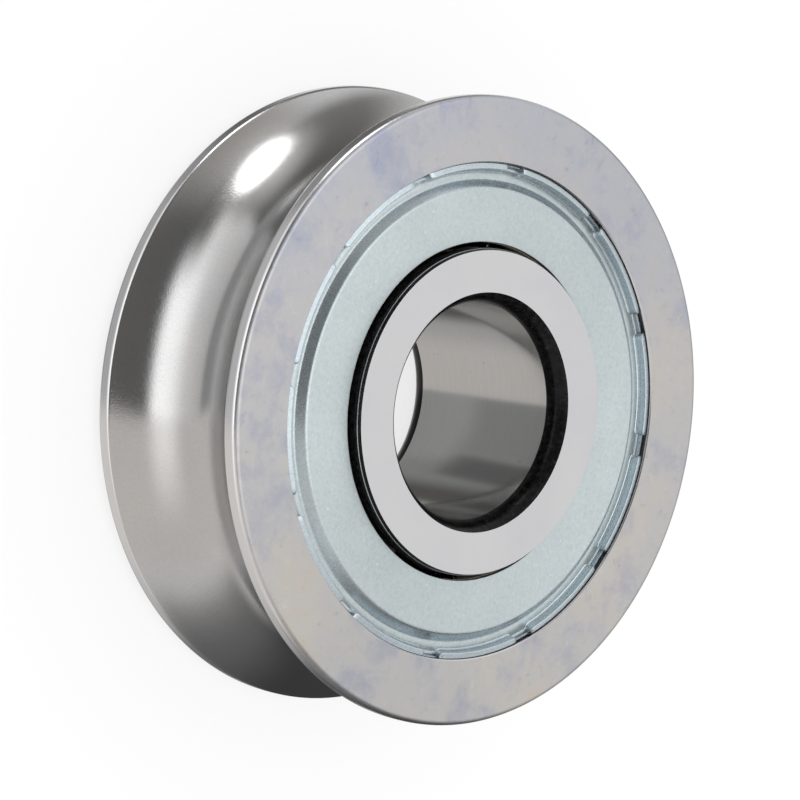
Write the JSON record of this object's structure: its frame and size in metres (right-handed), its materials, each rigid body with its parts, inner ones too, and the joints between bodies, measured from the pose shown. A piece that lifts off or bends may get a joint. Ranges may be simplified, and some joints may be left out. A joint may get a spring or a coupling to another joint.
{
  "type": "track roller bearing",
  "caption": "Ball bearing roller with a gothic arch groove around its thick outer ring, shields on both sides and a plain bore.",
  "frame": {"origin": "centre of the bore, at mid width of both rings", "axes": "+Z along the bore axis, out of the front face; X and Y in the plane of mid width"},
  "size_m": [0.072, 0.072, 0.0258],
  "materials": {
    "ground_steel": "hardened steel, ground faces with mottled stains and a lapped groove",
    "ring_steel": "hardened steel, fine ground, with black unground corners",
    "zinc_sheet": "pressed steel sheet, pale blue-green zinc plating",
    "cage_plastic": "moulded polyamide, natural",
    "ball_steel": "polished hardened steel"
  },
  "bodies": {
    "inner_ring": {"inner_ring": "ring_steel"},
    "outer_ring": {"outer_ring": "ground_steel", "front_shield": "zinc_sheet", "rear_shield": "zinc_sheet"},
    "front_cage": {"front_cage": "cage_plastic"},
    "rear_cage": {"rear_cage": "cage_plastic"},
    "ball_front_01": {"ball_front_01": "ball_steel"},
    "ball_front_02": {"ball_front_02": "ball_steel"},
    "ball_front_03": {"ball_front_03": "ball_steel"},
    "ball_front_04": {"ball_front_04": "ball_steel"},
    "ball_front_05": {"ball_front_05": "ball_steel"},
    "ball_front_06": {"ball_front_06": "ball_steel"},
    "ball_front_07": {"ball_front_07": "ball_steel"},
    "ball_front_08": {"ball_front_08": "ball_steel"},
    "ball_front_09": {"ball_front_09": "ball_steel"},
    "ball_front_10": {"ball_front_10": "ball_steel"},
    "ball_front_11": {"ball_front_11": "ball_steel"},
    "ball_front_12": {"ball_front_12": "ball_steel"},
    "ball_rear_01": {"ball_rear_01": "ball_steel"},
    "ball_rear_02": {"ball_rear_02": "ball_steel"},
    "ball_rear_03": {"ball_rear_03": "ball_steel"},
    "ball_rear_04": {"ball_rear_04": "ball_steel"},
    "ball_rear_05": {"ball_rear_05": "ball_steel"},
    "ball_rear_06": {"ball_rear_06": "ball_steel"},
    "ball_rear_07": {"ball_rear_07": "ball_steel"},
    "ball_rear_08": {"ball_rear_08": "ball_steel"},
    "ball_rear_09": {"ball_rear_09": "ball_steel"},
    "ball_rear_10": {"ball_rear_10": "ball_steel"},
    "ball_rear_11": {"ball_rear_11": "ball_steel"},
    "ball_rear_12": {"ball_rear_12": "ball_steel"}
  },
  "joints": [
    {"name": "outer_ring_spin", "type": "hinge", "parent": "inner_ring", "child": "outer_ring", "pos_m": [0, 0, 0], "axis": [0, 0, 1], "continuous": true},
    {"name": "front_cage_spin", "type": "hinge", "parent": "inner_ring", "child": "front_cage", "pos_m": [0, 0, 0.0054], "axis": [0, 0, 1], "continuous": true},
    {"name": "ball_front_01_roll", "type": "hinge", "parent": "front_cage", "child": "ball_front_01", "pos_m": [0.0214, 0, 0.0054], "axis": [0.5, 0, 0.866], "continuous": true},
    {"name": "ball_front_02_roll", "type": "hinge", "parent": "front_cage", "child": "ball_front_02", "pos_m": [0.01853, 0.0107, 0.0054], "axis": [0.433, 0.25, 0.866], "continuous": true},
    {"name": "ball_front_03_roll", "type": "hinge", "parent": "front_cage", "child": "ball_front_03", "pos_m": [0.0107, 0.01853, 0.0054], "axis": [0.25, 0.433, 0.866], "continuous": true},
    {"name": "ball_front_04_roll", "type": "hinge", "parent": "front_cage", "child": "ball_front_04", "pos_m": [0, 0.0214, 0.0054], "axis": [0, 0.5, 0.866], "continuous": true},
    {"name": "ball_front_05_roll", "type": "hinge", "parent": "front_cage", "child": "ball_front_05", "pos_m": [-0.0107, 0.01853, 0.0054], "axis": [-0.25, 0.433, 0.866], "continuous": true},
    {"name": "ball_front_06_roll", "type": "hinge", "parent": "front_cage", "child": "ball_front_06", "pos_m": [-0.01853, 0.0107, 0.0054], "axis": [-0.433, 0.25, 0.866], "continuous": true},
    {"name": "ball_front_07_roll", "type": "hinge", "parent": "front_cage", "child": "ball_front_07", "pos_m": [-0.0214, 0, 0.0054], "axis": [-0.5, 0, 0.866], "continuous": true},
    {"name": "ball_front_08_roll", "type": "hinge", "parent": "front_cage", "child": "ball_front_08", "pos_m": [-0.01853, -0.0107, 0.0054], "axis": [-0.433, -0.25, 0.866], "continuous": true},
    {"name": "ball_front_09_roll", "type": "hinge", "parent": "front_cage", "child": "ball_front_09", "pos_m": [-0.0107, -0.01853, 0.0054], "axis": [-0.25, -0.433, 0.866], "continuous": true},
    {"name": "ball_front_10_roll", "type": "hinge", "parent": "front_cage", "child": "ball_front_10", "pos_m": [0, -0.0214, 0.0054], "axis": [0, -0.5, 0.866], "continuous": true},
    {"name": "ball_front_11_roll", "type": "hinge", "parent": "front_cage", "child": "ball_front_11", "pos_m": [0.0107, -0.01853, 0.0054], "axis": [0.25, -0.433, 0.866], "continuous": true},
    {"name": "ball_front_12_roll", "type": "hinge", "parent": "front_cage", "child": "ball_front_12", "pos_m": [0.01853, -0.0107, 0.0054], "axis": [0.433, -0.25, 0.866], "continuous": true},
    {"name": "rear_cage_spin", "type": "hinge", "parent": "inner_ring", "child": "rear_cage", "pos_m": [0, 0, -0.0054], "axis": [0, 0, 1], "continuous": true},
    {"name": "ball_rear_01_roll", "type": "hinge", "parent": "rear_cage", "child": "ball_rear_01", "pos_m": [0.02067, 0.00554, -0.0054], "axis": [-0.483, -0.1294, 0.866], "continuous": true},
    {"name": "ball_rear_02_roll", "type": "hinge", "parent": "rear_cage", "child": "ball_rear_02", "pos_m": [0.01513, 0.01513, -0.0054], "axis": [-0.3536, -0.3536, 0.866], "continuous": true},
    {"name": "ball_rear_03_roll", "type": "hinge", "parent": "rear_cage", "child": "ball_rear_03", "pos_m": [0.00554, 0.02067, -0.0054], "axis": [-0.1294, -0.483, 0.866], "continuous": true},
    {"name": "ball_rear_04_roll", "type": "hinge", "parent": "rear_cage", "child": "ball_rear_04", "pos_m": [-0.00554, 0.02067, -0.0054], "axis": [0.1294, -0.483, 0.866], "continuous": true},
    {"name": "ball_rear_05_roll", "type": "hinge", "parent": "rear_cage", "child": "ball_rear_05", "pos_m": [-0.01513, 0.01513, -0.0054], "axis": [0.3536, -0.3536, 0.866], "continuous": true},
    {"name": "ball_rear_06_roll", "type": "hinge", "parent": "rear_cage", "child": "ball_rear_06", "pos_m": [-0.02067, 0.00554, -0.0054], "axis": [0.483, -0.1294, 0.866], "continuous": true},
    {"name": "ball_rear_07_roll", "type": "hinge", "parent": "rear_cage", "child": "ball_rear_07", "pos_m": [-0.02067, -0.00554, -0.0054], "axis": [0.483, 0.1294, 0.866], "continuous": true},
    {"name": "ball_rear_08_roll", "type": "hinge", "parent": "rear_cage", "child": "ball_rear_08", "pos_m": [-0.01513, -0.01513, -0.0054], "axis": [0.3536, 0.3536, 0.866], "continuous": true},
    {"name": "ball_rear_09_roll", "type": "hinge", "parent": "rear_cage", "child": "ball_rear_09", "pos_m": [-0.00554, -0.02067, -0.0054], "axis": [0.1294, 0.483, 0.866], "continuous": true},
    {"name": "ball_rear_10_roll", "type": "hinge", "parent": "rear_cage", "child": "ball_rear_10", "pos_m": [0.00554, -0.02067, -0.0054], "axis": [-0.1294, 0.483, 0.866], "continuous": true},
    {"name": "ball_rear_11_roll", "type": "hinge", "parent": "rear_cage", "child": "ball_rear_11", "pos_m": [0.01513, -0.01513, -0.0054], "axis": [-0.3536, 0.3536, 0.866], "continuous": true},
    {"name": "ball_rear_12_roll", "type": "hinge", "parent": "rear_cage", "child": "ball_rear_12", "pos_m": [0.02067, -0.00554, -0.0054], "axis": [-0.483, 0.1294, 0.866], "continuous": true}
  ],
  "couplings": [
    {"joint": "front_cage_spin", "follows": "outer_ring_spin", "ratio": 0.58833},
    {"joint": "ball_front_01_roll", "follows": "outer_ring_spin", "ratio": 2.3745},
    {"joint": "ball_front_02_roll", "follows": "outer_ring_spin", "ratio": 2.3745},
    {"joint": "ball_front_03_roll", "follows": "outer_ring_spin", "ratio": 2.3745},
    {"joint": "ball_front_04_roll", "follows": "outer_ring_spin", "ratio": 2.3745},
    {"joint": "ball_front_05_roll", "follows": "outer_ring_spin", "ratio": 2.3745},
    {"joint": "ball_front_06_roll", "follows": "outer_ring_spin", "ratio": 2.3745},
    {"joint": "ball_front_07_roll", "follows": "outer_ring_spin", "ratio": 2.3745},
    {"joint": "ball_front_08_roll", "follows": "outer_ring_spin", "ratio": 2.3745},
    {"joint": "ball_front_09_roll", "follows": "outer_ring_spin", "ratio": 2.3745},
    {"joint": "ball_front_10_roll", "follows": "outer_ring_spin", "ratio": 2.3745},
    {"joint": "ball_front_11_roll", "follows": "outer_ring_spin", "ratio": 2.3745},
    {"joint": "ball_front_12_roll", "follows": "outer_ring_spin", "ratio": 2.3745},
    {"joint": "rear_cage_spin", "follows": "outer_ring_spin", "ratio": 0.58833},
    {"joint": "ball_rear_01_roll", "follows": "outer_ring_spin", "ratio": 2.3745},
    {"joint": "ball_rear_02_roll", "follows": "outer_ring_spin", "ratio": 2.3745},
    {"joint": "ball_rear_03_roll", "follows": "outer_ring_spin", "ratio": 2.3745},
    {"joint": "ball_rear_04_roll", "follows": "outer_ring_spin", "ratio": 2.3745},
    {"joint": "ball_rear_05_roll", "follows": "outer_ring_spin", "ratio": 2.3745},
    {"joint": "ball_rear_06_roll", "follows": "outer_ring_spin", "ratio": 2.3745},
    {"joint": "ball_rear_07_roll", "follows": "outer_ring_spin", "ratio": 2.3745},
    {"joint": "ball_rear_08_roll", "follows": "outer_ring_spin", "ratio": 2.3745},
    {"joint": "ball_rear_09_roll", "follows": "outer_ring_spin", "ratio": 2.3745},
    {"joint": "ball_rear_10_roll", "follows": "outer_ring_spin", "ratio": 2.3745},
    {"joint": "ball_rear_11_roll", "follows": "outer_ring_spin", "ratio": 2.3745},
    {"joint": "ball_rear_12_roll", "follows": "outer_ring_spin", "ratio": 2.3745}
  ]
}
